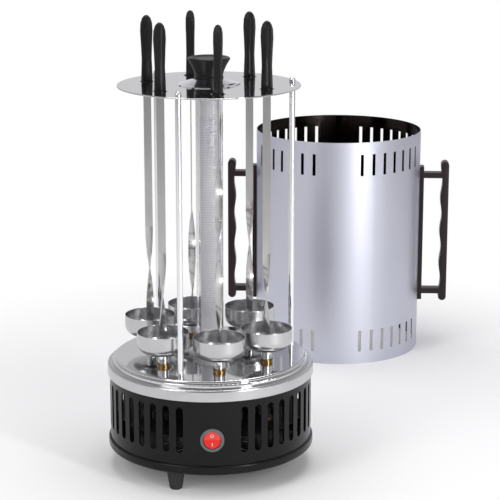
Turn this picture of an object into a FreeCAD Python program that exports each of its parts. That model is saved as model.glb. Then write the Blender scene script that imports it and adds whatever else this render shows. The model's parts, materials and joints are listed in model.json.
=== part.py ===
import FreeCAD, Part
import math
import os

# Upright electric rotisserie: six turning skewers around a quartz heater, on a drive base,
# with the lift-off casing standing on the floor beside it. Millimetres, +Z up.
# The origin is on the base's axis at floor level, and the switch faces -Y.

# ---- base shell
skirt_radius = 107.0
skirt_wall = 1.0
skirt_top = 103.0
rim_reach = 2.2         # how far the pan and the deck stand past the skirt
pan_radius = skirt_radius + rim_reach
pan_bottom = 23.0
pan_rim_height = 10.0
pan_wall = 1.2
deck_radius = skirt_radius + rim_reach
deck_wall = 1.0
deck_top = 114.0
deck_inner_radius = 82.0
plate_wall = 1.0
plate_top = 121.0
bead_radius = deck_radius - 5.2
plate_radius = bead_radius - 3.3
bead_height = 4.0
seat_gap = 0.3          # round faces of different pieces
press_gap = 0.05        # a piece pressed or screwed into another
running_gap = 0.08      # a turning shaft in its bush

# ---- skirt vents
vent_width = 7.6
vent_bottom = 45.5
vent_top = 94.5
vent_pitch_deg = 8.1
vent_first_deg = 18.0
vent_count = 41
gland_space_deg = 5.0   # no vent stands this near the cord inlet at the back
vent_lip = 0.9          # how far the drawn edge of a vent stands inward
vent_lip_wall = 1.0

# ---- feet
foot_circle = skirt_radius - 17.0
foot_turn_deg = -3.5    # from a support rod round to its foot
foot_top_radius = 10.0
foot_bottom_radius = 6.6
foot_recess_radius = 4.6
foot_seat = 14.0        # height at which the foot's screw head seats
screw_radius = 2.0
screw_head_radius = 3.8
screw_head_height = 2.6

# ---- spindles, gears and motor
spindle_circle = 67.5
spindle_angles = [-83.0, -31.0, 50.0, 106.0, 161.0, 223.0]
rod_angles = [-111.0, 9.0, 129.0]
gear_module = 1.5
drive_teeth = 60
spindle_teeth = 30
motor_teeth = 16
pressure_deg = 20.0
tooth_backlash = 0.30
gear_bottom = 70.0
gear_width = 8.0
gear_plate_bottom = 58.0
gear_plate_wall = 2.0
gear_plate_radius = skirt_radius - 9.0
shaft_radius = 4.0
shaft_bottom = 53.0
bush_radius = 6.0
bush_flange_radius = 8.6
bush_flange = 1.5
collar_radius = 6.6
collar_ring = 1.3
stem_radius = 5.7
stem_bottom = 125.2
stem_socket_depth = 9.0
stem_rise = 2.4         # how far the stem's end stands above the cup's floor
socket_play = 0.5
hub_hole = 6.0
hub_wall = 3.0
drive_hub_radius = 16.0
drive_hub_rise = 3.0    # how far the drive gear's hub stands past its teeth
web_hole_radius = 8.0
web_hole_circle = 30.0
post_collar_radius = 14.0
spindle_hub_radius = 9.0
motor_radius = 25.0
motor_height = 20.0
motor_shaft_radius = 3.0
motor_angle = 9.0
motor_ear_offset = 30.0

# ---- drip cups
cup_radius = 27.0
cup_wall = 0.8
cup_bottom = 136.0
cup_height = 22.0
cup_curve = 11.0

# ---- heater
tube_radius = 14.0
tube_wall = 1.5
core_radius = 9.4
core_hole = 5.0
coil_radius = 10.2
coil_bottom = 163.0
coil_top = 376.0
socket_radius = 23.0
socket_height = 9.0

# ---- top
disc_radius = 94.4
disc_bottom = 406.5
disc_wall = 1.5
rod_radius = 3.0
rod_circle = 87.5
rod_thread_radius = 1.75
nut_radius = 3.4
dish_radius = 32.0
dish_rise = 6.0
dish_wall = 1.0
knob_foot_radius = 15.0
knob_top_radius = 22.0
knob_bottom = 415.0
knob_height = 22.0
cap_radius = 18.0
cap_height = 12.0

# ---- skewers
blade_width = 8.0
blade_wall = 1.2
tip_gap = 0.3
handle_gap = 0.6
handle_socket = 12.0    # how far a blade runs up into its handle
handle_collar_bore = blade_width / 2 + 0.4
handle_collar_radius = handle_collar_bore + 2.0
handle_length = 68.0
handle_width = 12.5
handle_depth = 10.0
disc_hole_radius = handle_collar_radius + 1.2
twist_pitch = 92.0      # height over which a blade turns half round
blade_directions = [90.0, 0.0, 0.0, 90.0, 0.0, 0.0]
twist_starts = [345.0, 237.0, 274.0, 262.0, 254.0, 241.0]

# ---- switch and cord inlet
switch_height = 61.0
bezel_radius = 12.3
bezel_proud = 2.2
switch_body_radius = 10.3
switch_body_depth = 11.5
rocker_radius = 8.7
rocker_gap = 0.65
rocker_tilt_deg = 8.0
rocker_depth = 5.0
rocker_pin_radius = 1.2
gland_height = 50.0
gland_hole = 3.5
gland_radius = 8.0
gland_body_radius = 5.8

# ---- casing, standing beside the base
casing_wall = 0.8
casing_play = 0.7       # between the casing and the bead it drops over
casing_radius = bead_radius + casing_play + casing_wall
casing_height = 284.0
casing_x = 172.0
casing_y = 440.0
casing_turn_deg = -5.0
slot_width = 4.0
slot_height = 27.0
slot_top_edge = 15.0
slot_bottom_edge = 16.0
slot_pitch_deg = 8.45
slot_first_deg = 16.4
slot_group = 7
grip_out = 37.0         # how far a handle's grip stands from the casing's wall
grip_bottom = 55.0
grip_top = 247.0
grip_thick = 9.0
grip_depth = 16.0
arm_height = 6.5
arm_bottom = 68.0
arm_top = 221.5
rail_thick = 5.0
finger_depth = 2.2
finger_waves = 4
seam_width = 9.0

up = FreeCAD.Vector(0, 0, 1)
origin = FreeCAD.Vector(0, 0, 0)
os.makedirs("parts", exist_ok=True)


def at(radius, angle_deg, z=0.0):
    turn = math.radians(angle_deg)
    return FreeCAD.Vector(radius * math.cos(turn), radius * math.sin(turn), z)


def rod(radius, bottom, top, centre=origin):
    place = FreeCAD.Vector(centre.x, centre.y, bottom)
    return Part.makeCylinder(radius, top - bottom, place, up)


def ring(outer, inner, bottom, top, centre=origin):
    return rod(outer, bottom, top, centre).cut(rod(inner, bottom - 1, top + 1, centre))


def box(length, width, height, centre_x, centre_y, bottom):
    corner = FreeCAD.Vector(centre_x - length / 2, centre_y - width / 2, bottom)
    return Part.makeBox(length, width, height, corner)


def turned(outline):
    # a solid of revolution about Z from (radius, z) points, closed back to the first
    points = [FreeCAD.Vector(r, 0, z) for r, z in outline]
    wire = Part.makePolygon(points + points[:1])
    return Part.Face(wire).revolve(origin, up, 360)


def turned_wire(edges):
    return Part.Face(Part.Wire(edges)).revolve(origin, up, 360)


def line(a, b):
    return Part.makeLine(FreeCAD.Vector(a[0], 0, a[1]), FreeCAD.Vector(b[0], 0, b[1]))


def arc(a, middle, b):
    ends = [FreeCAD.Vector(p[0], 0, p[1]) for p in (a, middle, b)]
    return Part.Arc(*ends).toShape()


def quarter(centre, radius, from_deg, to_deg):
    # an arc in the XZ plane between two angles about a centre
    points = []
    for angle in (from_deg, (from_deg + to_deg) / 2, to_deg):
        turn = math.radians(angle)
        points.append((centre[0] + radius * math.cos(turn), centre[1] + radius * math.sin(turn)))
    return arc(*points)


def moved(shape, x=0.0, y=0.0, z=0.0):
    copy = shape.copy()
    copy.translate(FreeCAD.Vector(x, y, z))
    return copy


def spun(shape, angle_deg, centre=origin, axis=up):
    copy = shape.copy()
    copy.rotate(centre, axis, angle_deg)
    return copy


def rounded_slot(width, bottom, top, inner, outer):
    # a through slot with round ends, cut along +X between two radii
    middle = Part.makeBox(outer - inner, width, top - bottom - width,
                          FreeCAD.Vector(inner, -width / 2, bottom + width / 2))
    along = FreeCAD.Vector(1, 0, 0)
    ends = []
    for z in (bottom + width / 2, top - width / 2):
        ends.append(Part.makeCylinder(width / 2, outer - inner, FreeCAD.Vector(inner, 0, z), along))
    return middle.fuse(ends).removeSplitter()


def save(node, *solids):
    pieces = []
    for shape in solids:
        pieces.extend(shape.Solids)
    result = pieces[0] if len(pieces) == 1 else Part.makeCompound(pieces)
    result.exportStep("parts/" + node + ".step")


# ---------------------------------------------------------------- gears
def involute_turn(base, radius):
    if radius <= base:
        return 0.0
    lean = math.acos(base / radius)
    return math.tan(lean) - lean


def gear_outline(teeth, first_tooth_deg):
    pitch = gear_module * teeth / 2
    base = pitch * math.cos(math.radians(pressure_deg))
    tip = pitch + 0.95 * gear_module
    root = pitch - 1.25 * gear_module
    start = max(base, root)
    half_thick = (math.pi * gear_module / 2 - tooth_backlash / 2) / (2 * pitch)
    flank_steps = 6
    flank = []
    for step in range(flank_steps + 1):
        radius = start + (tip - start) * step / flank_steps
        turn = half_thick + involute_turn(base, pitch) - involute_turn(base, radius)
        flank.append((radius, turn))
    edges = []
    tooth_turn = 2 * math.pi / teeth
    for tooth in range(teeth):
        middle = math.radians(first_tooth_deg) + tooth * tooth_turn
        rise = [polar(radius, middle - turn) for radius, turn in flank]
        fall = [polar(radius, middle + turn) for radius, turn in reversed(flank)]
        foot_before = polar(root, middle - flank[0][1])
        foot_after = polar(root, middle + flank[0][1])
        next_foot = polar(root, middle + tooth_turn - flank[0][1])
        gap_middle = polar(root, middle + tooth_turn / 2)
        if start > root:
            edges.append(Part.makeLine(foot_before, rise[0]))
        edges.append(spline(rise))
        edges.append(Part.Arc(rise[-1], polar(tip, middle), fall[0]).toShape())
        edges.append(spline(fall))
        if start > root:
            edges.append(Part.makeLine(fall[-1], foot_after))
        edges.append(Part.Arc(foot_after, gap_middle, next_foot).toShape())
    return Part.Wire(edges)


def polar(radius, turn):
    return FreeCAD.Vector(radius * math.cos(turn), radius * math.sin(turn), 0)


def spline(points):
    curve = Part.BSplineCurve()
    curve.interpolate(points)
    return curve.toShape()


def gear(teeth, first_tooth_deg, centre):
    face = Part.Face(gear_outline(teeth, first_tooth_deg))
    blank = face.extrude(FreeCAD.Vector(0, 0, gear_width))
    return moved(blank, centre.x, centre.y, gear_bottom)


def mesh_turn(centre_deg, teeth):
    # the first tooth's angle that puts a gear in mesh with the drive gear, which has a tooth at 0
    step = 360 / drive_teeth
    lead = centre_deg - step * round(centre_deg / step)
    return centre_deg + 180 + lead * drive_teeth / teeth + 180 / teeth


motor_circle = gear_module * (drive_teeth + motor_teeth) / 2
motor_centre = at(motor_circle, motor_angle)
gear_plate_top = gear_plate_bottom + gear_plate_wall
bush_top = gear_plate_top + bush_flange
spindle_places = [at(spindle_circle, angle) for angle in spindle_angles]
rod_places = [at(rod_circle, angle) for angle in rod_angles]
foot_places = [at(foot_circle, angle + foot_turn_deg) for angle in rod_angles]
pan_floor = pan_bottom + pan_wall
hub_radius = hub_hole + hub_wall
disc_top = disc_bottom + disc_wall
stem_top = cup_bottom + cup_wall + stem_rise
socket_bottom = stem_top - stem_socket_depth
tang_width = blade_width * 0.75
shoulder = stem_top + 3.6


# ---------------------------------------------------------------- base shell
def bottom_pan():
    rim_top = pan_bottom + pan_rim_height
    inside = skirt_radius - skirt_wall - seat_gap
    curve = 3.0
    edges = [
        line((hub_hole, pan_bottom), (pan_radius - curve, pan_bottom)),
        quarter((pan_radius - curve, pan_bottom + curve), curve, -90, 0),
        line((pan_radius, pan_bottom + curve), (pan_radius, rim_top - 2)),
        quarter((pan_radius - 2, rim_top - 2), 2, 0, 90),
        line((pan_radius - 2, rim_top), (inside - pan_wall, rim_top)),
        line((inside - pan_wall, rim_top), (inside - pan_wall, pan_floor)),
        line((inside - pan_wall, pan_floor), (hub_hole, pan_floor)),
        line((hub_hole, pan_floor), (hub_hole, pan_bottom)),
    ]
    pan = turned_wire(edges)
    # the rolled edge is hollow: sheet steel turned up and back inward
    hollow = ring(pan_radius - pan_wall, inside, pan_floor + 1, rim_top - pan_wall)
    pan = pan.cut(hollow)
    for place in foot_places:
        pan = pan.cut(rod(screw_radius + press_gap, pan_bottom - 1, pan_floor + 1, place))
    slot = box(22, 4, 6, 45, 0, pan_bottom - 2)
    for turn in range(12):
        pan = pan.cut(spun(slot, 15 + 30 * turn))
    save("bottom_pan", pan)


def base_skirt():
    inner = skirt_radius - skirt_wall
    bottom = pan_bottom + pan_rim_height
    skirt = ring(skirt_radius, inner, bottom, skirt_top)
    lip_outer = inner + 0.2
    lip = rounded_slot(vent_width + 2 * vent_lip_wall, vent_bottom - vent_lip_wall,
                       vent_top + vent_lip_wall, inner - vent_lip - 1, lip_outer)
    lip = lip.common(ring(lip_outer, inner - vent_lip, bottom, skirt_top))
    opening = rounded_slot(vent_width, vent_bottom, vent_top, inner - 5, skirt_radius + 2)
    lips = []
    openings = []
    for index in range(vent_count):
        angle = -90 + vent_first_deg + vent_pitch_deg * index
        if abs(angle - 90) > gland_space_deg:
            lips.append(spun(lip, angle))
            openings.append(spun(opening, angle))
    skirt = skirt.fuse(lips).cut(Part.makeCompound(openings))
    along = FreeCAD.Vector(0, 1, 0)
    switch_hole = Part.makeCylinder(switch_body_radius + press_gap, 20,
                                    FreeCAD.Vector(0, -skirt_radius - 10, switch_height), along)
    gland_cut = Part.makeCylinder(gland_body_radius + press_gap, 20,
                                  FreeCAD.Vector(0, skirt_radius - 10, gland_height), along)
    save("base_skirt", skirt.cut(switch_hole).cut(gland_cut))


def deck_ring():
    curve = 2.5
    lap = 1.0
    inner = deck_radius - deck_wall
    under = deck_top - deck_wall
    inner_curve = curve - deck_wall
    edges = [
        line((deck_radius, skirt_top - lap), (deck_radius, deck_top - curve)),
        quarter((deck_radius - curve, deck_top - curve), curve, 0, 90),
        line((deck_radius - curve, deck_top), (deck_inner_radius, deck_top)),
        line((deck_inner_radius, deck_top), (deck_inner_radius, under)),
        line((deck_inner_radius, under), (deck_radius - curve, under)),
        quarter((deck_radius - curve, deck_top - curve), inner_curve, 90, 0),
        line((inner, deck_top - curve), (inner, skirt_top - lap)),
        line((inner, skirt_top - lap), (deck_radius, skirt_top - lap)),
    ]
    deck = turned_wire(edges)
    # an inward lip that rests on the skirt's top edge
    deck = deck.fuse(ring(inner + 0.2, skirt_radius - 4, skirt_top, skirt_top + deck_wall))
    for place in rod_places:
        deck = deck.cut(rod(rod_radius + press_gap, deck_top - 5, deck_top + 1, place))
    save("deck_ring", deck.removeSplitter())


def mirror_plate():
    curve = 2.0
    bead_top = deck_top + bead_height
    bead_curve = 1.2
    inner = plate_radius - plate_wall
    hole = hub_radius + press_gap
    under = plate_top - plate_wall
    edges = [
        line((hole, plate_top), (plate_radius - curve, plate_top)),
        quarter((plate_radius - curve, plate_top - curve), curve, 90, 0),
        line((plate_radius, plate_top - curve), (plate_radius, bead_top)),
        line((plate_radius, bead_top), (bead_radius - bead_curve, bead_top)),
        quarter((bead_radius - bead_curve, bead_top - bead_curve), bead_curve, 90, 0),
        line((bead_radius, bead_top - bead_curve), (bead_radius, deck_top)),
        line((bead_radius, deck_top), (inner, deck_top)),
        line((inner, deck_top), (inner, plate_top - curve)),
        quarter((plate_radius - curve, plate_top - curve), curve - plate_wall, 0, 90),
        line((plate_radius - curve, under), (hole, under)),
        line((hole, under), (hole, plate_top)),
    ]
    plate = turned_wire(edges)
    for place in spindle_places:
        plate = plate.cut(rod(bush_radius + press_gap, plate_top - 3, plate_top + 1, place))
    for place in rod_places:
        plate = plate.cut(rod(rod_radius + press_gap, plate_top - 3, plate_top + 1, place))
    save("mirror_plate", plate)


def feet():
    blank = turned([(0, 0), (foot_bottom_radius - 1.2, 0), (foot_bottom_radius, 1.2),
                    (foot_top_radius, pan_bottom), (0, pan_bottom)])
    blank = blank.cut(rod(foot_recess_radius, -1, foot_seat))
    blank = blank.cut(rod(screw_radius + press_gap, -1, pan_bottom + 1))
    screw_top = pan_floor + 6
    screw = rod(screw_radius, foot_seat - screw_head_height, screw_top)
    screw = screw.fuse(rod(screw_head_radius, foot_seat - screw_head_height, foot_seat))
    cross = box(4, 0.9, 1.2, 0, 0, foot_seat - screw_head_height)
    screw = screw.cut(cross).cut(spun(cross, 90)).removeSplitter()
    nut = hexagon(3.5, pan_floor, pan_floor + 3.2).cut(rod(screw_radius + press_gap, 0, 60))
    save("feet", *[moved(blank, p.x, p.y) for p in foot_places])
    fastened = []
    for place in foot_places:
        fastened.append(moved(screw, place.x, place.y))
        fastened.append(moved(nut, place.x, place.y))
    save("foot_screws", *fastened)


def hexagon(flat_radius, bottom, top):
    corner = flat_radius / math.cos(math.radians(30))
    points = [at(corner, 60 * side, bottom) for side in range(6)]
    face = Part.Face(Part.makePolygon(points + points[:1]))
    return face.extrude(FreeCAD.Vector(0, 0, top - bottom))


# ---------------------------------------------------------------- drive
def gear_plate():
    plate = ring(gear_plate_radius, hub_hole, gear_plate_bottom, gear_plate_top)
    leg_width = 16.0
    leg_circle = gear_plate_radius - 8
    for angle in (-150.0, -60.0, 85.0):
        leg = Part.makeBox(gear_plate_wall, leg_width, gear_plate_bottom - pan_floor,
                           FreeCAD.Vector(leg_circle, -leg_width / 2, pan_floor))
        toe = Part.makeBox(12, leg_width, gear_plate_wall,
                           FreeCAD.Vector(leg_circle - 10, -leg_width / 2, pan_floor))
        plate = plate.fuse([spun(leg, angle), spun(toe, angle)])
    for place in spindle_places:
        plate = plate.cut(rod(bush_radius + press_gap, gear_plate_bottom - 1, gear_plate_top + 1, place))
    plate = plate.cut(rod(motor_shaft_radius + 2, gear_plate_bottom - 1, gear_plate_top + 1, motor_centre))
    for place in motor_ears():
        plate = plate.cut(rod(screw_radius + press_gap, gear_plate_bottom - 1, gear_plate_top + 1, place))
    # clearances for the switch and the cord inlet at the rim
    plate = plate.cut(box(2 * bezel_radius + 4, 24, 10, 0, -gear_plate_radius, gear_plate_bottom - 4))
    save("gear_plate", plate.removeSplitter())


def motor_ears():
    across = at(motor_ear_offset, motor_angle + 90)
    return [motor_centre.add(across), motor_centre.sub(across)]


def motor():
    top = gear_plate_bottom
    body = rod(motor_radius, top - motor_height, top - 1.5, motor_centre)
    ear_length = 2 * motor_ear_offset + 10
    ears = spun(box(10, ear_length, 1.5, 0, 0, top - 1.5), motor_angle)
    ears = moved(ears, motor_centre.x, motor_centre.y)
    body = body.fuse(ears)
    for place in motor_ears():
        body = body.cut(rod(screw_radius + press_gap, top - 4, top + 1, place))
    # the output shaft's sleeve bearing stands up through the gear plate
    body = body.fuse(rod(motor_shaft_radius + 1.5, top - 2, gear_plate_top + 4, motor_centre))
    body = body.cut(rod(motor_shaft_radius + running_gap, top - 12, gear_plate_top + 5, motor_centre))
    save("motor", body.removeSplitter())
    screws = []
    for place in motor_ears():
        shank = rod(screw_radius, top - 1.5, gear_plate_top + 3, place)
        head = rod(screw_head_radius, top - 1.5 - screw_head_height, top - 1.5, place)
        nut = hexagon(3.5, gear_plate_top, gear_plate_top + 3.0)
        nut = moved(nut, place.x, place.y).cut(rod(screw_radius + press_gap, 0, 90, place))
        screws.extend([shank.fuse(head).removeSplitter(), nut])
    save("motor_screws", *screws)
    pinion = gear(motor_teeth, mesh_turn(motor_angle, motor_teeth), motor_centre)
    shaft = rod(motor_shaft_radius, top - 11, gear_bottom + 0.5, motor_centre)
    save("motor_pinion", pinion.fuse(shaft).removeSplitter())


def drive_gear():
    wheel = gear(drive_teeth, 0.0, origin)
    hub_low = gear_bottom - drive_hub_rise
    hub_high = gear_bottom + gear_width + drive_hub_rise
    wheel = wheel.fuse(rod(drive_hub_radius, hub_low, hub_high))
    wheel = wheel.cut(rod(hub_radius + running_gap, hub_low - 1, hub_high + 1))
    for turn in range(6):
        wheel = wheel.cut(rod(web_hole_radius, hub_low, hub_high, at(web_hole_circle, 60 * turn)))
    save("drive_gear", wheel.removeSplitter())
    post_top = plate_top + 2.0
    post = ring(hub_radius, hub_hole, gear_plate_top, post_top)
    collar = ring(post_collar_radius, hub_hole, gear_plate_top, hub_low - seat_gap)
    save("hub_post", post.fuse(collar).removeSplitter())


def bushes():
    pieces = []
    for place in spindle_places:
        lower = ring(bush_radius, shaft_radius + running_gap, gear_plate_bottom - 1, gear_plate_top, place)
        lower = lower.fuse(ring(bush_flange_radius, shaft_radius + running_gap,
                                gear_plate_top, bush_top, place))
        upper = ring(bush_radius, shaft_radius + running_gap, plate_top - 5, plate_top, place)
        for level in range(2):
            bottom = plate_top + level * 1.9
            upper = upper.fuse(ring(collar_radius, shaft_radius + running_gap,
                                    bottom, bottom + collar_ring, place))
        upper = upper.fuse(ring(collar_radius - 0.7, shaft_radius + running_gap,
                                plate_top, plate_top + 3.2, place))
        pieces.extend([lower.removeSplitter(), upper.removeSplitter()])
    save("spindle_bushes", *pieces)


def spindle(number, angle_deg):
    place = at(spindle_circle, angle_deg)
    shaft = rod(shaft_radius, shaft_bottom, stem_bottom, place)
    stem = rod(stem_radius, stem_bottom, cup_bottom, place)
    top_pin = rod(shaft_radius, cup_bottom - 0.5, stem_top, place)
    pin = shaft.fuse([stem, top_pin]).removeSplitter()
    # flat socket in the stem's end that takes the skewer's blade
    socket = box(blade_wall + socket_play, tang_width, stem_socket_depth + 1,
                 place.x, place.y, socket_bottom)
    pin = pin.cut(spun(socket, blade_turn(number, shoulder), place))
    save("spindle_%d" % number, pin)
    wheel = gear(spindle_teeth, mesh_turn(angle_deg, spindle_teeth), place)
    hub_high = gear_bottom + gear_width + drive_hub_rise
    wheel = wheel.fuse(rod(spindle_hub_radius, bush_top + seat_gap, hub_high, place))
    wheel = wheel.cut(rod(shaft_radius + press_gap, shaft_bottom, stem_bottom, place))
    save("spindle_gear_%d" % number, wheel.removeSplitter())
    save("drip_cup_%d" % number, moved(drip_cup(), place.x, place.y))


def drip_cup():
    outer = cup_radius
    low = cup_bottom
    high = cup_bottom + cup_height
    inner = outer - cup_wall
    curve = cup_curve
    hole = shaft_radius + press_gap
    edges = [
        line((hole, low), (outer - curve, low)),
        quarter((outer - curve, low + curve), curve, -90, 0),
        line((outer, low + curve), (outer, high - cup_wall / 2)),
        quarter((outer - cup_wall / 2, high - cup_wall / 2), cup_wall / 2, 0, 180),
        line((inner, high - cup_wall / 2), (inner, low + curve)),
        quarter((outer - curve, low + curve), curve - cup_wall, 0, -90),
        line((outer - curve, low + cup_wall), (hole, low + cup_wall)),
        line((hole, low + cup_wall), (hole, low)),
    ]
    return turned_wire(edges)


# ---------------------------------------------------------------- heater
def heater():
    # ceramic holder on the plate, with a recess for the tube's lower end
    low = plate_top
    holder = rod(socket_radius, low, low + 3).fuse(rod(tube_radius + 4, low, low + socket_height))
    holder = holder.cut(rod(hub_radius + press_gap, low - 1, low + 3))
    holder = holder.cut(rod(tube_radius + press_gap, low + 5, low + socket_height + 1))
    holder = holder.cut(rod(core_hole, low - 1, low + 20))
    save("heater_socket", holder.removeSplitter())
    tube_bottom = low + 5
    tube_top = disc_bottom - 2
    save("quartz_tube", ring(tube_radius, tube_radius - tube_wall, tube_bottom, tube_top))
    core = ring(core_radius, core_hole, tube_bottom, tube_top - 1)
    save("heater_core", core)
    save("heating_coil", ring(coil_radius, core_radius + press_gap, coil_bottom, coil_top))
    cap = rod(cap_radius, disc_bottom - cap_height, disc_bottom)
    cap = cap.cut(rod(tube_radius + press_gap, disc_bottom - cap_height - 1, disc_bottom - 2))
    save("heater_top_cap", cap)


# ---------------------------------------------------------------- top
def rods():
    pieces = []
    nuts = []
    nut_base = 1.8
    top = disc_top + nut_base + 1.6
    for place in rod_places:
        low = deck_top - 9
        bar = rod(rod_radius, low, disc_bottom, place)
        thread = rod(rod_thread_radius, disc_bottom, top, place)
        pieces.append(bar.fuse(thread).removeSplitter())
        dome = turned_wire([
            line((0, disc_top), (nut_radius, disc_top)),
            line((nut_radius, disc_top), (nut_radius, disc_top + nut_base)),
            quarter((0, disc_top + nut_base), nut_radius, 0, 90),
            line((0, disc_top + nut_base + nut_radius), (0, disc_top)),
        ])
        dome = moved(dome, place.x, place.y)
        nuts.append(dome.cut(rod(rod_thread_radius + press_gap, disc_top - 1, top + 0.1, place)))
        lock = moved(hexagon(5.0, deck_top - deck_wall - 4, deck_top - deck_wall), place.x, place.y)
        nuts.append(lock.cut(rod(rod_radius + press_gap, 0, 200, place)))
    save("support_rods", *pieces)
    save("rod_nuts", *nuts)


def top_disc():
    disc = rod(disc_radius, disc_bottom, disc_top)
    edges = [edge for edge in disc.Edges if edge.Curve.TypeId == "Part::GeomCircle"]
    disc = disc.makeFillet(0.5, edges)
    for place in spindle_places:
        disc = disc.cut(rod(disc_hole_radius, disc_bottom - 1, disc_top + 1, place))
    for place in rod_places:
        disc = disc.cut(rod(rod_thread_radius + press_gap, disc_bottom - 1, disc_top + 1, place))
    disc = disc.cut(rod(screw_radius + press_gap, disc_bottom - 1, disc_top + 1))
    save("top_disc", disc)
    flat = knob_foot_radius + 1.5
    high = disc_top + dish_rise
    dish = turned([(screw_radius + press_gap, high - dish_wall), (screw_radius + press_gap, high),
                   (flat, high), (dish_radius - 3, disc_top + 1.6), (dish_radius, disc_top + 0.8),
                   (dish_radius, disc_top), (dish_radius - 3.4, disc_top),
                   (flat - 0.6, high - dish_wall)])
    save("knob_dish", dish)
    knob()


def knob():
    low = disc_top + dish_rise
    high = low + knob_height
    neck = knob_foot_radius - 0.8
    lip = 2.0
    dip = 1.4
    lip_centre = (knob_top_radius - lip, high - lip)
    edges = [
        line((0, low), (knob_foot_radius, low)),
        line((knob_foot_radius, low), (knob_foot_radius, low + 2.2)),
        line((knob_foot_radius, low + 2.2), (neck, low + 3.4)),
        arc((neck, low + 3.4), (knob_foot_radius + 2.2, low + 11.6), (knob_top_radius, high - lip)),
        quarter(lip_centre, lip, 0, 90),
        line((knob_top_radius - lip, high), (knob_top_radius - 3 * lip, high - dip)),
        line((knob_top_radius - 3 * lip, high - dip), (0, high - dip)),
        line((0, high - dip), (0, low)),
    ]
    body = turned_wire(edges)
    body = body.cut(rod(screw_radius + press_gap, low - 1, low + 12))
    save("knob", body)


# ---------------------------------------------------------------- skewers
def blade_turn(number, z):
    # direction of the blade's width at a height: straight above its twist's start
    below = max(0.0, twist_starts[number - 1] - z)
    return blade_directions[number - 1] - 90 - 180 * below / twist_pitch


def blade(number, place):
    # a flat strip that is straight below its handle and twists lower down
    top = disc_top + handle_socket
    tip = socket_bottom + tip_gap
    half = blade_width / 2
    wall = blade_wall / 2
    start = twist_starts[number - 1]
    steps = math.ceil((start - shoulder) / 8)
    wires = []
    for step in range(steps + 1):
        z = shoulder + (start - shoulder) * step / steps
        section = box(blade_wall, blade_width, 1, place.x, place.y, z)
        section = spun(section, blade_turn(number, z), place)
        wires.append(min(section.Faces, key=lambda face: face.CenterOfMass.z).OuterWire)
    twisted = Part.makeLoft(wires, True, False)
    straight = box(blade_wall, blade_width, top - start, place.x, place.y, start)
    straight = spun(straight, blade_turn(number, start), place)
    narrow = tang_width - socket_play
    outline = [FreeCAD.Vector(0, -half, shoulder), FreeCAD.Vector(0, -narrow / 2, shoulder - 3),
               FreeCAD.Vector(0, -narrow / 2, tip + 2), FreeCAD.Vector(0, 0, tip),
               FreeCAD.Vector(0, narrow / 2, tip + 2), FreeCAD.Vector(0, narrow / 2, shoulder - 3),
               FreeCAD.Vector(0, half, shoulder)]
    point = Part.Face(Part.makePolygon(outline + outline[:1])).extrude(FreeCAD.Vector(blade_wall, 0, 0))
    point = spun(moved(point, place.x - wall, place.y), blade_turn(number, shoulder), place)
    return twisted.fuse([straight, point]).removeSplitter()


def handle(place, turn):
    # leaf-shaped grip: widest near its pointed top, with a rib down the middle of each face
    low = disc_top + handle_gap
    high = low + handle_length
    half = handle_width / 2
    waist = half * 0.8
    foot = half * 0.92
    side = spline([FreeCAD.Vector(foot, 0, low), FreeCAD.Vector(waist, 0, low + 0.32 * handle_length),
                   FreeCAD.Vector(half, 0, low + 0.73 * handle_length),
                   FreeCAD.Vector(half * 0.75, 0, low + 0.9 * handle_length),
                   FreeCAD.Vector(0, 0, high)])
    other_side = side.mirror(origin, FreeCAD.Vector(1, 0, 0))
    base = line((-foot, low), (foot, low))
    face = Part.Face(Part.Wire(Part.__sortEdges__([base, side, other_side])))
    leaf = face.extrude(FreeCAD.Vector(0, handle_depth * 0.64, 0))
    leaf = moved(leaf, 0, -handle_depth * 0.32)
    rib = box(handle_width * 0.42, handle_depth, handle_length - 9, 0, 0, low)
    body = leaf.fuse(rib).removeSplitter()
    return spun(moved(body, place.x, place.y), turn, place)


def skewer(number, angle_deg):
    place = at(spindle_circle, angle_deg)
    strip = blade(number, place)
    top_turn = blade_turn(number, disc_top)
    grip = handle(place, top_turn + 90)
    hole = box(blade_wall + 2 * press_gap, blade_width + 2 * press_gap,
               handle_socket - handle_gap + press_gap, place.x, place.y, disc_top + handle_gap)
    grip = grip.cut(spun(hole, top_turn, place))
    collar = ring(handle_collar_radius, handle_collar_bore,
                  disc_bottom - 2.5, disc_top + handle_gap, place)
    save("skewer_blade_%d" % number, strip)
    save("skewer_handle_%d" % number, grip.fuse(collar).removeSplitter())


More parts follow.
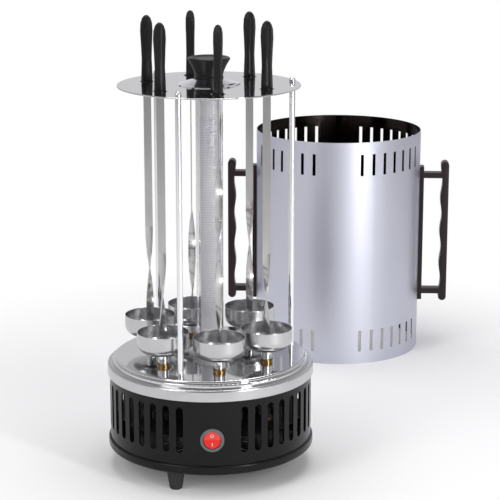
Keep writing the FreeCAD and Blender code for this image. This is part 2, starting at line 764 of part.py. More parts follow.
# ---------------------------------------------------------------- switch and inlet
def switch():
    face = -skirt_radius
    along = FreeCAD.Vector(0, 1, 0)
    centre = FreeCAD.Vector(0, face - bezel_proud, switch_height)
    bezel = Part.makeCylinder(bezel_radius, bezel_proud + 1.6, centre, along)
    bezel = bezel.makeFillet(0.8, [e for e in bezel.Edges if abs(e.CenterOfMass.y - centre.y) < 0.01])
    # the flange's back follows the round skirt
    bezel = bezel.cut(rod(skirt_radius + press_gap, switch_height - 30, switch_height + 30))
    body = Part.makeCylinder(switch_body_radius, switch_body_depth,
                             FreeCAD.Vector(0, face - bezel_proud + 1, switch_height), along)
    shell = bezel.fuse(body).removeSplitter()
    mouth = Part.makeCylinder(rocker_radius + rocker_gap, 10.5,
                              FreeCAD.Vector(0, face - bezel_proud - 1, switch_height), along)
    shell = shell.cut(mouth)
    pivot_y = face - bezel_proud + 4.0
    pivot = FreeCAD.Vector(0, pivot_y, switch_height)
    across = FreeCAD.Vector(1, 0, 0)
    pin_length = 2 * (rocker_radius + rocker_gap + 0.6)
    bore = Part.makeCylinder(rocker_pin_radius + running_gap, pin_length + 0.4,
                             FreeCAD.Vector(-pin_length / 2 - 0.2, pivot_y, switch_height), across)
    shell = shell.cut(bore)
    save("switch_housing", shell)
    # the rocker's face is a shallow V, with one half pressed in
    cap = Part.makeCylinder(rocker_radius, rocker_depth,
                            FreeCAD.Vector(0, pivot_y - rocker_depth + 1.2, switch_height), along)
    front = pivot_y - rocker_depth + 1.2
    dip = Part.Face(Part.makePolygon([
        FreeCAD.Vector(-20, front - 1, switch_height - 20),
        FreeCAD.Vector(-20, front + 0.7, switch_height),
        FreeCAD.Vector(-20, front - 1, switch_height + 20),
        FreeCAD.Vector(-20, front - 1, switch_height - 20)])).extrude(FreeCAD.Vector(40, 0, 0))
    cap = cap.cut(dip)
    pin = Part.makeCylinder(rocker_pin_radius, pin_length,
                            FreeCAD.Vector(-pin_length / 2, pivot_y, switch_height), across)
    rocker = cap.fuse(pin).removeSplitter()
    rocker.rotate(pivot, across, -rocker_tilt_deg)
    save("switch_rocker", rocker)


def cord_gland():
    along = FreeCAD.Vector(0, 1, 0)
    inner = skirt_radius - skirt_wall
    flange = Part.makeCylinder(gland_radius, 4.0, FreeCAD.Vector(0, skirt_radius - 1.5, gland_height), along)
    flange = flange.cut(rod(skirt_radius + press_gap, gland_height - 20, gland_height + 20))
    neck = Part.makeCylinder(gland_body_radius, 11.0, FreeCAD.Vector(0, inner - 8, gland_height), along)
    nose = Part.makeCone(gland_radius - 1, gland_body_radius, 6.0,
                         FreeCAD.Vector(0, skirt_radius + 2.5, gland_height), along)
    body = flange.fuse([neck, nose]).removeSplitter()
    hole = Part.makeCylinder(gland_hole, 40, FreeCAD.Vector(0, inner - 15, gland_height), along)
    save("cord_gland", body.cut(hole))


# ---------------------------------------------------------------- casing
def casing():
    shell = ring(casing_radius, casing_radius - casing_wall, 0, casing_height)
    slots = []
    for bottom in (slot_bottom_edge, casing_height - slot_top_edge - slot_height):
        cut = Part.makeBox(6, slot_width, slot_height,
                           FreeCAD.Vector(casing_radius - 4, -slot_width / 2, bottom))
        for start in (-90, 90):
            for side in (-1, 1):
                for index in range(slot_group):
                    angle = start + side * (slot_first_deg + slot_pitch_deg * index)
                    slots.append(spun(cut, angle))
    shell = shell.cut(Part.makeCompound(slots))
    # the sheet's two ends lap at the back, held by a flat seam
    seam = box(seam_width, casing_wall, casing_height, 0, casing_radius - casing_wall - 0.35, 0)
    shell = shell.fuse(seam).removeSplitter()
    screw_spots = []
    for side in (-1, 1):
        for z in (arm_bottom + arm_height / 2, arm_top + arm_height / 2):
            screw_spots.append((side, z))
    screws = []
    across = FreeCAD.Vector(1, 0, 0)
    for side, z in screw_spots:
        start = FreeCAD.Vector(side * (casing_radius - casing_wall), 0, z)
        direction = across if side > 0 else across.negative()
        hole = Part.makeCylinder(screw_radius + press_gap, 4,
                                 start.sub(direction * 2), direction)
        shell = shell.cut(hole)
        inner = casing_radius - casing_wall - 0.15
        head = Part.makeCylinder(screw_head_radius, 1.8,
                                 FreeCAD.Vector(side * (inner - 1.8), 0, z), direction)
        shank = Part.makeCylinder(screw_radius, 8.0, FreeCAD.Vector(side * (inner - 0.2), 0, z), direction)
        screws.append(head.fuse(shank).removeSplitter())
    save("casing_shell", stood(shell))
    save("casing_handle_screws", *[stood(screw) for screw in screws])
    for side, name in ((-1, "left"), (1, "right")):
        grip = casing_handle()
        if side < 0:
            grip = spun(grip, 180)
        save("casing_handle_" + name, stood(grip))


def stood(shape):
    # from the casing's own axis to where it stands on the floor
    return moved(spun(shape, casing_turn_deg), casing_x, casing_y)


def casing_handle():
    # outer grip with finger waves, two arms, and a rail that follows the casing's wall
    wall = casing_radius + press_gap
    outer = casing_radius + grip_out
    inner = outer - grip_thick
    span = grip_top - grip_bottom - 20
    points = []
    steps = 4 * finger_waves
    for step in range(steps + 1):
        z = grip_bottom + 10 + span * step / steps
        wave = finger_depth * math.cos(2 * math.pi * step * finger_waves / steps) - finger_depth
        points.append(FreeCAD.Vector(inner - wave * 0.5 - finger_depth / 2, 0, z))
    inner_edge = Part.BSplineCurve()
    inner_edge.interpolate(points)
    low = points[0]
    high = points[-1]
    bottom_cap = Part.Arc(low, FreeCAD.Vector((low.x + outer) / 2, 0, grip_bottom + 4),
                          FreeCAD.Vector(outer, 0, low.z)).toShape()
    top_cap = Part.Arc(high, FreeCAD.Vector((high.x + outer) / 2, 0, grip_top - 4),
                       FreeCAD.Vector(outer, 0, high.z)).toShape()
    back = Part.makeLine(FreeCAD.Vector(outer, 0, low.z), FreeCAD.Vector(outer, 0, high.z))
    face = Part.Face(Part.Wire(Part.__sortEdges__([inner_edge.toShape(), bottom_cap, back, top_cap])))
    grip = moved(face.extrude(FreeCAD.Vector(0, grip_depth, 0)), 0, -grip_depth / 2)
    rail = Part.makeBox(rail_thick + 6, grip_depth, arm_top - arm_bottom + arm_height + 16,
                        FreeCAD.Vector(wall - 6, -grip_depth / 2, arm_bottom - 8))
    rail = rail.cut(rod(wall, 0, casing_height + 10))
    arms = []
    for bottom in (arm_bottom, arm_top):
        arm = Part.makeBox(outer - wall - 3, grip_depth, arm_height,
                           FreeCAD.Vector(wall + 1, -grip_depth / 2, bottom))
        arms.append(arm)
    body = grip.fuse([rail] + arms).removeSplitter()
    for bottom in (arm_bottom, arm_top):
        hole = Part.makeCylinder(screw_radius + press_gap, 9,
                                 FreeCAD.Vector(casing_radius - 2, 0, bottom + arm_height / 2),
                                 FreeCAD.Vector(1, 0, 0))
        body = body.cut(hole)
    return body


bottom_pan()
base_skirt()
deck_ring()
mirror_plate()
feet()
gear_plate()
motor()
drive_gear()
bushes()
heater()
rods()
top_disc()
for index, spindle_angle in enumerate(spindle_angles):
    spindle(index + 1, spindle_angle)
    skewer(index + 1, spindle_angle)
switch()
cord_gland()
casing()
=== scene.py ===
import json
import math

import bmesh
import bpy
from mathutils import Matrix, Vector
from mathutils.bvhtree import BVHTree


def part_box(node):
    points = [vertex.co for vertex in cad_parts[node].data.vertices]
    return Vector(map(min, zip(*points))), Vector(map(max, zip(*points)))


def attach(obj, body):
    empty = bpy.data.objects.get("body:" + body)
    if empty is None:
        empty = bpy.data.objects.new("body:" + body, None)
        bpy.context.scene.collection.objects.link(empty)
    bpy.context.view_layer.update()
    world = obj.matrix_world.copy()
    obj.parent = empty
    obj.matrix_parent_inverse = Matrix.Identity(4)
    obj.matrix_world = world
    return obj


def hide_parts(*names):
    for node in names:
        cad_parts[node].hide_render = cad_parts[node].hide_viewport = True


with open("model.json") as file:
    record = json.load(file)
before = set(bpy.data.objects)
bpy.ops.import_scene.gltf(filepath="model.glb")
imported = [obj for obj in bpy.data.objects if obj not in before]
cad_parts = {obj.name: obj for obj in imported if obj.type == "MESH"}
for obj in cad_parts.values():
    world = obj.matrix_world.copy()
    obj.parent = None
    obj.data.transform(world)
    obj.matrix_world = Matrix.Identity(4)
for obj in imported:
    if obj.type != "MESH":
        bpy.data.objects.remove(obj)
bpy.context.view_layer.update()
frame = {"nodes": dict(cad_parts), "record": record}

nodes = frame["nodes"]
skewerCount = 6


# ---- shader maths: a wrapped socket adds its own Math nodes
class Wire:
    def __init__(self, graph, socket):
        self.graph = graph
        self.socket = socket

    def math(self, operation, other, swap=False):
        pair = [other, self] if swap else [self, other]
        return self.graph.node("ShaderNodeMath", {"operation": operation}, dict(enumerate(pair)))

    def __add__(self, other):
        return self.math("ADD", other)

    def __radd__(self, other):
        return self.math("ADD", other, True)

    def __sub__(self, other):
        return self.math("SUBTRACT", other)

    def __rsub__(self, other):
        return self.math("SUBTRACT", other, True)

    def __mul__(self, other):
        return self.math("MULTIPLY", other)

    def __rmul__(self, other):
        return self.math("MULTIPLY", other, True)

    def __pow__(self, other):
        return self.math("POWER", other)


class Graph:
    def __init__(self, name):
        self.material = bpy.data.materials.new(name)
        self.material.use_nodes = True
        self.tree = self.material.node_tree
        self.shader = self.tree.nodes["Principled BSDF"]

    def node(self, kind, settings, inputs, out=0):
        made = self.tree.nodes.new(kind)
        for key, value in settings.items():
            setattr(made, key, value)
        for key, value in inputs.items():
            self.feed(made.inputs[key], value)
        return Wire(self, made.outputs[out])

    def feed(self, socket, value):
        if isinstance(value, Wire):
            self.tree.links.new(value.socket, socket)
        else:
            socket.default_value = value

    def spot(self, scale=(1, 1, 1), move=(0, 0, 0)):
        place = self.node("ShaderNodeTexCoord", {}, {}, "Object")
        return self.node("ShaderNodeMapping", {}, {"Vector": place, "Scale": scale, "Location": move})

    def noise(self, vector, scale, detail=3.0, rough=0.5):
        sockets = {"Vector": vector, "Scale": scale, "Detail": detail, "Roughness": rough}
        return self.node("ShaderNodeTexNoise", {}, sockets, "Fac")

    def blend(self, mask, low, high):
        sockets = {0: mask, 6: low, 7: high}
        return self.node("ShaderNodeMix", {"data_type": "RGBA"}, sockets, 2)

    def rings(self, scale, centre=(0, 0, 0)):
        # concentric coordinates about an upright axis: radius and height
        place = self.spot(move=tuple(-c for c in centre))
        x = self.node("ShaderNodeSeparateXYZ", {}, {0: place}, 0)
        y = self.node("ShaderNodeSeparateXYZ", {}, {0: place}, 1)
        z = self.node("ShaderNodeSeparateXYZ", {}, {0: place}, 2)
        radius = (x * x + y * y) ** 0.5
        return self.node("ShaderNodeCombineXYZ", {}, {0: radius * scale, 1: z * scale})

    def bump(self, height, strength, distance):
        sockets = {"Height": height, "Strength": strength, "Distance": distance}
        return self.node("ShaderNodeBump", {}, sockets)

    def finish(self, **sockets):
        for key, value in sockets.items():
            self.feed(self.shader.inputs[key.replace("_", " ")], value)
        return self.material


def spread(mask, low, high):
    return mask * (high - low) + low


# ---- finishes
enamelLook = {"colour": (0.004, 0.004, 0.0045, 1), "haze": (0.007, 0.007, 0.0075, 1), "peel": 0.00002}
steelLook = {"colour": (0.60, 0.60, 0.61, 1), "dull": (0.50, 0.50, 0.51, 1), "lines": 900}
# inside and stained are near-black browns painted over the casing's whole inner wall: painted shade inside
# the cylinder, with a brownish stain tone varying between the two
casingLook = {"outside": (0.58, 0.585, 0.67, 1), "paler": (0.64, 0.645, 0.73, 1),
              "inside": (0.055, 0.040, 0.036, 1), "stainedShade": (0.11, 0.085, 0.075, 1)}
bladeLook = {"colour": (0.62, 0.62, 0.63, 1), "heat": (0.42, 0.40, 0.38, 1)}
brassLook = {"colour": (0.42, 0.27, 0.11, 1), "tarnish": (0.22, 0.14, 0.06, 1)}
handleLook = {"colour": (0.005, 0.005, 0.0055, 1), "worn": (0.010, 0.010, 0.0105, 1)}
gripLook = {"colour": (0.012, 0.006, 0.007, 1), "worn": (0.022, 0.013, 0.014, 1)}
nylonLook = {"colour": (0.012, 0.012, 0.013, 1), "worn": (0.022, 0.022, 0.023, 1)}


def blackEnamel():
    g = Graph("blackEnamel")
    haze = g.noise(g.spot(), 28, 4)
    peel = g.noise(g.spot(), 620, 2)
    colour = g.blend(haze, enamelLook["colour"], enamelLook["haze"])
    return g.finish(Base_Color=colour, Roughness=spread(haze, 0.16, 0.30), Specular_IOR_Level=0.2,
                    Normal=g.bump(peel, 0.25, enamelLook["peel"]))


def spunSteel(name, centre=(0, 0, 0), rough=(0.18, 0.32), colours=steelLook):
    g = Graph(name)
    lines = g.noise(g.rings(colours["lines"], centre), 1.0, 5, 0.65)
    cloud = g.noise(g.spot(), 35, 3)
    colour = g.blend(cloud, colours["dull"], colours["colour"])
    return g.finish(Base_Color=colour, Metallic=1.0, Roughness=spread(lines, *rough),
                    Normal=g.bump(lines, 0.12, 0.00004))


def mirrorSteel(name):
    g = Graph(name)
    lines = g.noise(g.rings(1400), 1.0, 4, 0.6)
    smear = g.noise(g.spot(), 22, 5, 0.6)
    colour = g.blend(smear, (0.58, 0.58, 0.585, 1), (0.66, 0.66, 0.665, 1))
    return g.finish(Base_Color=colour, Metallic=1.0, Roughness=spread(smear * lines, 0.03, 0.16),
                    Normal=g.bump(lines, 0.04, 0.00002))


def chromePlate():
    g = Graph("chromePlate")
    smear = g.noise(g.spot(), 60, 3)
    colour = g.blend(smear, (0.78, 0.78, 0.80, 1), (0.86, 0.86, 0.88, 1))
    return g.finish(Base_Color=colour, Metallic=1.0, Roughness=spread(smear, 0.03, 0.12))


def casingSteel():
    g = Graph("casingSteel")
    low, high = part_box("casing_shell")
    centre = (low + high) / 2
    place = g.spot(move=(-centre.x, -centre.y, 0))
    normal = g.node("ShaderNodeNewGeometry", {}, {}, "Normal")
    flat = g.node("ShaderNodeVectorMath", {"operation": "MULTIPLY"}, {0: place, 1: (1, 1, 0)})
    facing = g.node("ShaderNodeVectorMath", {"operation": "DOT_PRODUCT"}, {0: flat, 1: normal}, "Value")
    inward = facing.math("LESS_THAN", -0.02)
    grain = g.noise(g.spot((14, 14, 1600)), 1.0, 4, 0.6)
    cloud = g.noise(g.spot(), 9, 3)
    outside = g.blend(cloud, casingLook["outside"], casingLook["paler"])
    # painted shade: faces turned inward get near-black brown metal colour, patched between two tones by this
    # stain noise
    stain = g.noise(g.spot((1, 1, 0.25)), 26, 4)
    inside = g.blend(stain, casingLook["inside"], casingLook["stainedShade"])
    rough = spread(grain, 0.34, 0.52) * (1 - inward) + spread(stain, 0.10, 0.26) * inward
    return g.finish(Base_Color=g.blend(inward, outside, inside), Metallic=1.0, Roughness=rough,
                    Normal=g.bump(grain, 0.10, 0.00004))


def bladeSteel():
    g = Graph("bladeSteel")
    grain = g.noise(g.spot((2500, 2500, 60)), 1.0, 3)
    heat = g.noise(g.spot((20, 20, 14)), 1.0, 4)
    colour = g.blend(heat, bladeLook["heat"], bladeLook["colour"])
    return g.finish(Base_Color=colour, Metallic=1.0, Roughness=spread(grain, 0.12, 0.32),
                    Normal=g.bump(grain, 0.08, 0.00003))


def turnedBrass():
    g = Graph("turnedBrass")
    tarnish = g.noise(g.spot(), 260, 4, 0.6)
    colour = g.blend(tarnish, brassLook["colour"], brassLook["tarnish"])
    return g.finish(Base_Color=colour, Metallic=1.0, Roughness=spread(tarnish, 0.16, 0.42))


def mouldedPlastic(name, look, rough=(0.30, 0.46), grain=900):
    g = Graph(name)
    wear = g.noise(g.spot(), 45, 4)
    skin = g.noise(g.spot(), grain, 2)
    colour = g.blend(wear, look["colour"], look["worn"])
    return g.finish(Base_Color=colour, Roughness=spread(wear, *rough), Specular_IOR_Level=0.28,
                    Normal=g.bump(skin, 0.2, 0.00003))


def glowPaintedRed():
    g = Graph("glowPaintedRed")
    cloud = g.noise(g.spot(), 180, 2)
    colour = g.blend(cloud, (0.62, 0.012, 0.010, 1), (0.74, 0.030, 0.020, 1))
    # painted glow: the rocker's own red is also emitted faintly, though no lamp lights it from inside
    return g.finish(Base_Color=colour, Roughness=spread(cloud, 0.12, 0.22), Coat_Weight=0.4,
                    Emission_Color=colour, Emission_Strength=0.12)


def markWhite():
    g = Graph("markWhite")
    cloud = g.noise(g.spot(), 900, 2)
    colour = g.blend(cloud, (0.72, 0.72, 0.72, 1), (0.85, 0.85, 0.84, 1))
    return g.finish(Base_Color=colour, Roughness=0.5)


def whiteCeramic():
    g = Graph("whiteCeramic")
    speck = g.noise(g.spot(), 500, 4, 0.7)
    stain = g.noise(g.spot((1, 1, 0.2)), 60, 3)
    colour = g.blend(stain, (0.72, 0.71, 0.72, 1), (0.84, 0.83, 0.84, 1))
    return g.finish(Base_Color=colour, Roughness=spread(speck, 0.45, 0.7), Normal=g.bump(speck, 0.2, 0.0001))


def clearQuartz():
    g = Graph("clearQuartz")
    ripple = g.noise(g.spot((1, 1, 0.3)), 70, 2)
    return g.finish(Base_Color=(0.97, 0.97, 0.985, 1), Roughness=spread(ripple, 0.02, 0.12),
                    Transmission_Weight=1.0, IOR=1.2)


def heatWire():
    g = Graph("heatWire")
    scale = g.noise(g.spot(), 900, 3)
    colour = g.blend(scale, (0.58, 0.58, 0.60, 1), (0.74, 0.74, 0.76, 1))
    return g.finish(Base_Color=colour, Metallic=0.6, Roughness=spread(scale, 0.35, 0.6))


def softRubber():
    g = Graph("softRubber")
    dust = g.noise(g.spot(), 130, 4)
    colour = g.blend(dust, (0.014, 0.014, 0.014, 1), (0.04, 0.04, 0.04, 1))
    return g.finish(Base_Color=colour, Roughness=spread(dust, 0.6, 0.85))


def zincSteel():
    g = Graph("zincSteel")
    spangle = g.noise(g.spot(), 240, 3)
    colour = g.blend(spangle, (0.42, 0.43, 0.44, 1), (0.58, 0.59, 0.60, 1))
    return g.finish(Base_Color=colour, Metallic=1.0, Roughness=spread(spangle, 0.28, 0.5))


def darkSteel():
    g = Graph("darkSteel")
    cloud = g.noise(g.spot(), 120, 3)
    colour = g.blend(cloud, (0.010, 0.010, 0.011, 1), (0.022, 0.022, 0.023, 1))
    return g.finish(Base_Color=colour, Roughness=spread(cloud, 0.4, 0.6), Specular_IOR_Level=0.25)


print("making finishes")
greyLook = {"colour": (0.10, 0.105, 0.11, 1), "worn": (0.15, 0.155, 0.16, 1)}
finishes = {
    "black_enamel": blackEnamel(),
    "polished_steel": spunSteel("polishedSteel"),
    "mirror_steel": mirrorSteel("mirrorSteel"),
    "brushed_steel": casingSteel(),
    "blade_steel": bladeSteel(),
    "zinc_steel": zincSteel(),
    "chrome": chromePlate(),
    "brass": turnedBrass(),
    "black_rubber": softRubber(),
    "black_plastic": mouldedPlastic("blackPhenolic", handleLook),
    "dark_plastic": mouldedPlastic("darkPhenolic", gripLook, (0.26, 0.42)),
    "grey_plastic": mouldedPlastic("greyBezel", greyLook, (0.35, 0.5)),
    "red_plastic": glowPaintedRed(),
    "dark_nylon": mouldedPlastic("darkNylon", nylonLook, (0.4, 0.6)),
    "dark_steel": darkSteel(),
    "ceramic": whiteCeramic(),
    "coil_wire": heatWire(),
    "quartz": clearQuartz(),
}


def paint(piece, material):
    piece.data.materials.clear()
    piece.data.materials.append(material)


def paintFrame():
    slots = {row["node"]: row["material_slot"] for row in frame["record"]["subparts"]}
    for name, piece in nodes.items():
        paint(piece, finishes[slots[name]])
    for number in range(1, skewerCount + 1):
        low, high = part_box("drip_cup_%d" % number)
        centre = (low + high) / 2
        cup = spunSteel("cupSteel%d" % number, (centre.x, centre.y, 0), (0.16, 0.30))
        paint(nodes["drip_cup_%d" % number], cup)


paintFrame()


# ---- making pieces
def pieceFrom(mesh, name, body, slot, stands, sharp=40):
    data = bpy.data.meshes.new(name)
    bmesh.ops.recalc_face_normals(mesh, faces=mesh.faces)
    mesh.to_mesh(data)
    mesh.free()
    data.shade_smooth()
    data.set_sharp_from_angle(angle=math.radians(sharp))
    piece = bpy.data.objects.new(name, data)
    bpy.context.scene.collection.objects.link(piece)
    paint(piece, finishes[slot])
    if stands:
        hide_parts(*stands)
    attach(piece, body)
    return piece


def edgesOver(mesh, degrees):
    limit = math.radians(degrees)
    return [e for e in mesh.edges if len(e.link_faces) == 2 and e.calc_face_angle(0) > limit]


def softened(node, name, body, slot, width, segments=2, corner=35):
    # a merged copy of a node with its sharp edges rounded
    mesh = bmesh.new()
    mesh.from_mesh(nodes[node].data)
    bmesh.ops.remove_doubles(mesh, verts=mesh.verts, dist=2e-6)
    bmesh.ops.dissolve_limit(mesh, angle_limit=math.radians(0.6), verts=mesh.verts, edges=mesh.edges)
    bmesh.ops.bevel(mesh, geom=edgesOver(mesh, corner), offset=width, segments=segments, profile=0.5,
                    affect="EDGES", material=-1, clamp_overlap=True)
    return pieceFrom(mesh, name, body, slot, [node])


# ---- heating coil: one long winding of thin wire on the ceramic core
coilSizes = {"wire": 0.00075, "turns": 81, "stepsPerTurn": 28, "sides": 6}


def windCoil():
    low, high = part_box("heating_coil")
    wire = coilSizes["wire"] / 2
    reach = (high.x - low.x) / 2 - wire
    steps = coilSizes["turns"] * coilSizes["stepsPerTurn"]
    climb = (high.z - low.z - 2 * wire) / steps
    mesh = bmesh.new()
    stand = Matrix.Translation((reach, 0, low.z + wire)) @ Matrix.Rotation(math.pi / 2, 4, "X")
    ring = bmesh.ops.create_circle(mesh, cap_ends=False, radius=wire, segments=coilSizes["sides"],
                                   matrix=stand)
    edges = list({e for v in ring["verts"] for e in v.link_edges})
    bmesh.ops.spin(mesh, geom=edges, cent=(0, 0, 0), axis=(0, 0, 1), dvec=(0, 0, climb),
                   angle=2 * math.pi * coilSizes["turns"], steps=steps, use_duplicate=False)
    bmesh.ops.holes_fill(mesh, edges=[e for e in mesh.edges if e.is_boundary], sides=0)
    return pieceFrom(mesh, "coil_winding", "root", "coil_wire", ["heating_coil"])


# ---- skewer handles: a leaf-shaped grip with a raised rib down each face
gripSizes = {
    "levels": (0.0, 0.02, 0.14, 0.34, 0.58, 0.76, 0.88, 0.95, 0.985, 1.0),
    "widths": (0.86, 0.92, 0.88, 0.80, 0.90, 1.0, 0.93, 0.70, 0.42, 0.14),
    "depths": (0.90, 0.96, 0.94, 0.88, 0.90, 0.96, 0.95, 0.78, 0.50, 0.18),
    "ribShare": 0.38,
    "faceShare": 0.62,
    "sides": 28,
    "baseGap": 0.0006,
    "halfDepth": 0.005,
    "collarRadius": 0.0063,
    "collarDepth": 0.0046,
    "collarDrop": 0.0021,
}


def leafHandle(number):
    node = "skewer_handle_%d" % number
    low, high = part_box(node)
    middle = (low + high) / 2
    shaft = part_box("spindle_%d" % number)
    axis = Vector(((shaft[0].x + shaft[1].x) / 2, (shaft[0].y + shaft[1].y) / 2, 0))
    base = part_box("top_disc")[1].z + gripSizes["baseGap"]
    reach = 0.0
    along = Vector((1, 0, 0))
    for vertex in nodes[node].data.vertices:
        out = Vector((vertex.co.x - axis.x, vertex.co.y - axis.y, 0))
        if vertex.co.z > middle.z and out.length > reach:
            reach = out.length
            along = out.normalized()
    turn = math.atan2(along.y, along.x)
    mesh = bmesh.new()
    made = bmesh.ops.create_circle(mesh, cap_ends=True, radius=1.0, segments=gripSizes["sides"])
    ring = made["verts"]
    for vertex in ring:
        if abs(vertex.co.x) > gripSizes["ribShare"]:
            vertex.co.y *= gripSizes["faceShare"]
    length = high.z - base
    face = mesh.faces[:][0]
    outline = [v.co.copy() for v in face.verts]
    for index, share in enumerate(gripSizes["levels"]):
        if index:
            grown = bmesh.ops.extrude_discrete_faces(mesh, faces=[face])["faces"]
            face = grown[0]
        wide = gripSizes["widths"][index] * reach
        deep = gripSizes["depths"][index] * gripSizes["halfDepth"]
        for vertex, start in zip(face.verts, outline):
            vertex.co = Vector((start.x * wide, start.y * deep, share * length))
    bmesh.ops.remove_doubles(mesh, verts=mesh.verts, dist=1e-7)
    place = Matrix.Translation((axis.x, axis.y, base)) @ Matrix.Rotation(turn, 4, "Z")
    bmesh.ops.transform(mesh, matrix=place, verts=mesh.verts)
    seat = Matrix.Translation((axis.x, axis.y, base - gripSizes["collarDrop"]))
    wide = gripSizes["collarRadius"]
    bmesh.ops.create_cone(mesh, cap_ends=True, segments=32, radius1=wide, radius2=wide,
                          depth=gripSizes["collarDepth"], matrix=seat)
    return pieceFrom(mesh, "leaf_handle_%d" % number, "skewer_%d" % number, "black_plastic", [node], 50)


# ---- power switch marks, laid on the two halves of the rocker's face
markSizes = {"ring": 0.0015, "line": 0.00055, "barLength": 0.0034, "offset": 0.0043, "sunk": 0.0001}


def switchMarks():
    rocker = nodes["switch_rocker"].data
    corners = [v.co for v in rocker.vertices]
    shape = BVHTree.FromPolygons(corners, [tuple(p.vertices) for p in rocker.polygons])
    low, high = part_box("switch_rocker")
    middle = (low + high) / 2
    for name, side in (("mark_off", 1), ("mark_on", -1)):
        mesh = bmesh.new()
        if side > 0:
            stand = Matrix.Translation((markSizes["ring"], 0, 0)) @ Matrix.Rotation(math.pi / 2, 4, "X")
            ring = bmesh.ops.create_circle(mesh, cap_ends=False, radius=markSizes["line"] / 2, segments=8,
                                           matrix=stand)
            edges = list({e for v in ring["verts"] for e in v.link_edges})
            bmesh.ops.spin(mesh, geom=edges, cent=(0, 0, 0), axis=(0, 0, 1), angle=2 * math.pi, steps=32,
                           use_merge=True, use_duplicate=False)
        else:
            bmesh.ops.create_cube(mesh, size=1.0)
            bar = (markSizes["line"] * 1.3, markSizes["barLength"], markSizes["line"])
            bmesh.ops.scale(mesh, vec=bar, verts=mesh.verts)
        start = Vector((0, low.y - 0.01, middle.z + side * markSizes["offset"]))
        spot, outward = shape.ray_cast(start, Vector((0, 1, 0)))[:2]
        if outward.y > 0:
            outward = -outward
        rise = Vector((0, 0, 1))
        rise = (rise - outward * rise.dot(outward)).normalized()
        across = rise.cross(outward)
        turn = Matrix((across, rise, outward)).transposed().to_4x4()
        seat = spot + outward * (markSizes["line"] / 2 - markSizes["sunk"])
        bmesh.ops.transform(mesh, matrix=Matrix.Translation(seat) @ turn, verts=mesh.verts)
        paint(pieceFrom(mesh, name, "rocker", "red_plastic", []), marks)


marks = markWhite()

# ---- copies of pieces with their edges rounded, width in metres
softEdges = {
    "casing_handle_left": ("left_grip", "casing", "dark_plastic", 0.0022, 35),
    "casing_handle_right": ("right_grip", "casing", "dark_plastic", 0.0022, 35),
    "heater_socket": ("ceramic_holder", "root", "ceramic", 0.0007, 35),
}

print("making pieces")
windCoil()
for number in range(1, skewerCount + 1):
    leafHandle(number)
switchMarks()
for node, (name, body, slot, width, corner) in softEdges.items():
    softened(node, name, body, slot, width, 3, corner)

# ---- stage, light and camera
stageSizes = {"reach": 60.0, "floorColour": (0.90, 0.90, 0.90, 1), "near": 0.24, "far": 0.62}
viewSizes = {"azimuth": -0.71, "distance": 1.80, "height": 0.6773, "yaw": -1.34, "pitch": 13.87,
             "focal": 1768.0}


def layFloor():
    mesh = bmesh.new()
    bmesh.ops.create_grid(mesh, x_segments=1, y_segments=1, size=stageSizes["reach"])
    data = bpy.data.meshes.new("floor")
    mesh.to_mesh(data)
    mesh.free()
    floor = bpy.data.objects.new("floor", data)
    bpy.context.scene.collection.objects.link(floor)
    g = Graph("paleFloor")
    grey = g.noise(g.spot(), 0.6, 2)
    colour = g.blend(grey, stageSizes["floorColour"], (0.91, 0.91, 0.91, 1))
    paint(floor, g.finish(Base_Color=colour, Roughness=0.95, Specular_IOR_Level=0.1))
    # seen from the camera, the floor fades to plain white away from the oven
    place = g.node("ShaderNodeSeparateXYZ", {}, {0: g.rings(1.0, (0.09, 0.22, 0))}, 0)
    away = g.node("ShaderNodeMapRange", {"interpolation_type": "SMOOTHSTEP"},
                  {0: place, 1: stageSizes["near"], 2: stageSizes["far"]})
    seen = g.node("ShaderNodeLightPath", {}, {}, "Is Camera Ray")
    white = g.node("ShaderNodeEmission", {}, {"Color": (1, 1, 1, 1), "Strength": 1.0})
    mixed = g.node("ShaderNodeMixShader", {}, {0: away * seen, 1: Wire(g, g.shader.outputs[0]), 2: white})
    g.feed(g.tree.nodes["Material Output"].inputs["Surface"], mixed)


def areaLamp(name, place, aim, size, power, colour=(1, 1, 1)):
    data = bpy.data.lights.new(name, "AREA")
    data.shape = "RECTANGLE"
    data.size, data.size_y = size
    data.energy = power
    data.color = colour
    lamp = bpy.data.objects.new(name, data)
    bpy.context.scene.collection.objects.link(lamp)
    lamp.location = place
    lamp.rotation_euler = (Vector(aim) - Vector(place)).to_track_quat("-Z", "Y").to_euler()


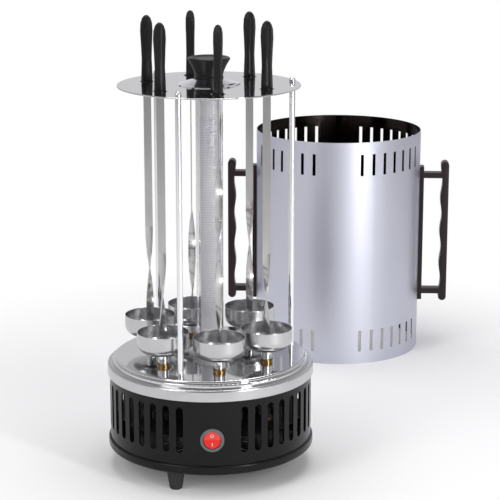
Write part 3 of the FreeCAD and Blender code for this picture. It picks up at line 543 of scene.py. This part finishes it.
def lightStudio():
    aim = (0.08, 0.15, 0.22)
    areaLamp("keyLamp", (-1.4, -1.3, 1.5), aim, (0.8, 1.4), 16)
    areaLamp("stripLamp", (0.95, -1.15, 0.55), (0.17, 0.44, 0.14), (0.16, 1.1), 12)
    areaLamp("topLamp", (0.1, 0.3, 2.2), aim, (1.4, 1.4), 24)
    world = bpy.data.worlds.new("studio")
    bpy.context.scene.world = world
    world.use_nodes = True
    tree = world.node_tree
    tree.nodes.clear()
    path = tree.nodes.new("ShaderNodeLightPath")
    seen = tree.nodes.new("ShaderNodeBackground")
    fill = tree.nodes.new("ShaderNodeBackground")
    mix = tree.nodes.new("ShaderNodeMixShader")
    out = tree.nodes.new("ShaderNodeOutputWorld")
    seen.inputs["Color"].default_value = (1, 1, 1, 1)
    place = tree.nodes.new("ShaderNodeTexCoord")
    split = tree.nodes.new("ShaderNodeSeparateXYZ")
    ramp = tree.nodes.new("ShaderNodeValToRGB")
    side = tree.nodes.new("ShaderNodeMapRange")
    tree.links.new(place.outputs["Generated"], split.inputs[0])
    tree.links.new(split.outputs[2], ramp.inputs[0])
    tree.links.new(ramp.outputs[0], fill.inputs["Color"])
    tree.links.new(split.outputs[1], side.inputs[0])
    for index, value in ((1, -1.0), (2, 0.4), (3, 0.45), (4, 1.05)):
        side.inputs[index].default_value = value
    tree.links.new(side.outputs[0], fill.inputs["Strength"])
    for index, (height, grey) in enumerate(((0.0, 0.72), (0.34, 0.66), (0.75, 0.34), (1.0, 0.30))):
        if index > 1:
            ramp.color_ramp.elements.new(height)
        ramp.color_ramp.elements[index].position = height
        ramp.color_ramp.elements[index].color = (grey, grey, grey * 1.03, 1)
    tree.links.new(path.outputs["Is Camera Ray"], mix.inputs[0])
    tree.links.new(fill.outputs[0], mix.inputs[1])
    tree.links.new(seen.outputs[0], mix.inputs[2])
    tree.links.new(mix.outputs[0], out.inputs[0])


def aimCamera():
    side = math.radians(viewSizes["azimuth"])
    data = bpy.data.cameras.new("camera")
    data.sensor_width = 36.0
    data.lens = viewSizes["focal"] * 36.0 / 500
    data.clip_end = 200
    camera = bpy.data.objects.new("camera", data)
    bpy.context.scene.collection.objects.link(camera)
    away = viewSizes["distance"]
    camera.location = (math.sin(side) * away, -math.cos(side) * away, viewSizes["height"])
    look = side + math.radians(viewSizes["yaw"])
    camera.rotation_euler = (math.radians(90 - viewSizes["pitch"]), 0, look)
    bpy.context.scene.camera = camera


print("lighting and aiming")
layFloor()
lightStudio()
aimCamera()
bpy.context.scene.view_settings.view_transform = "Standard"
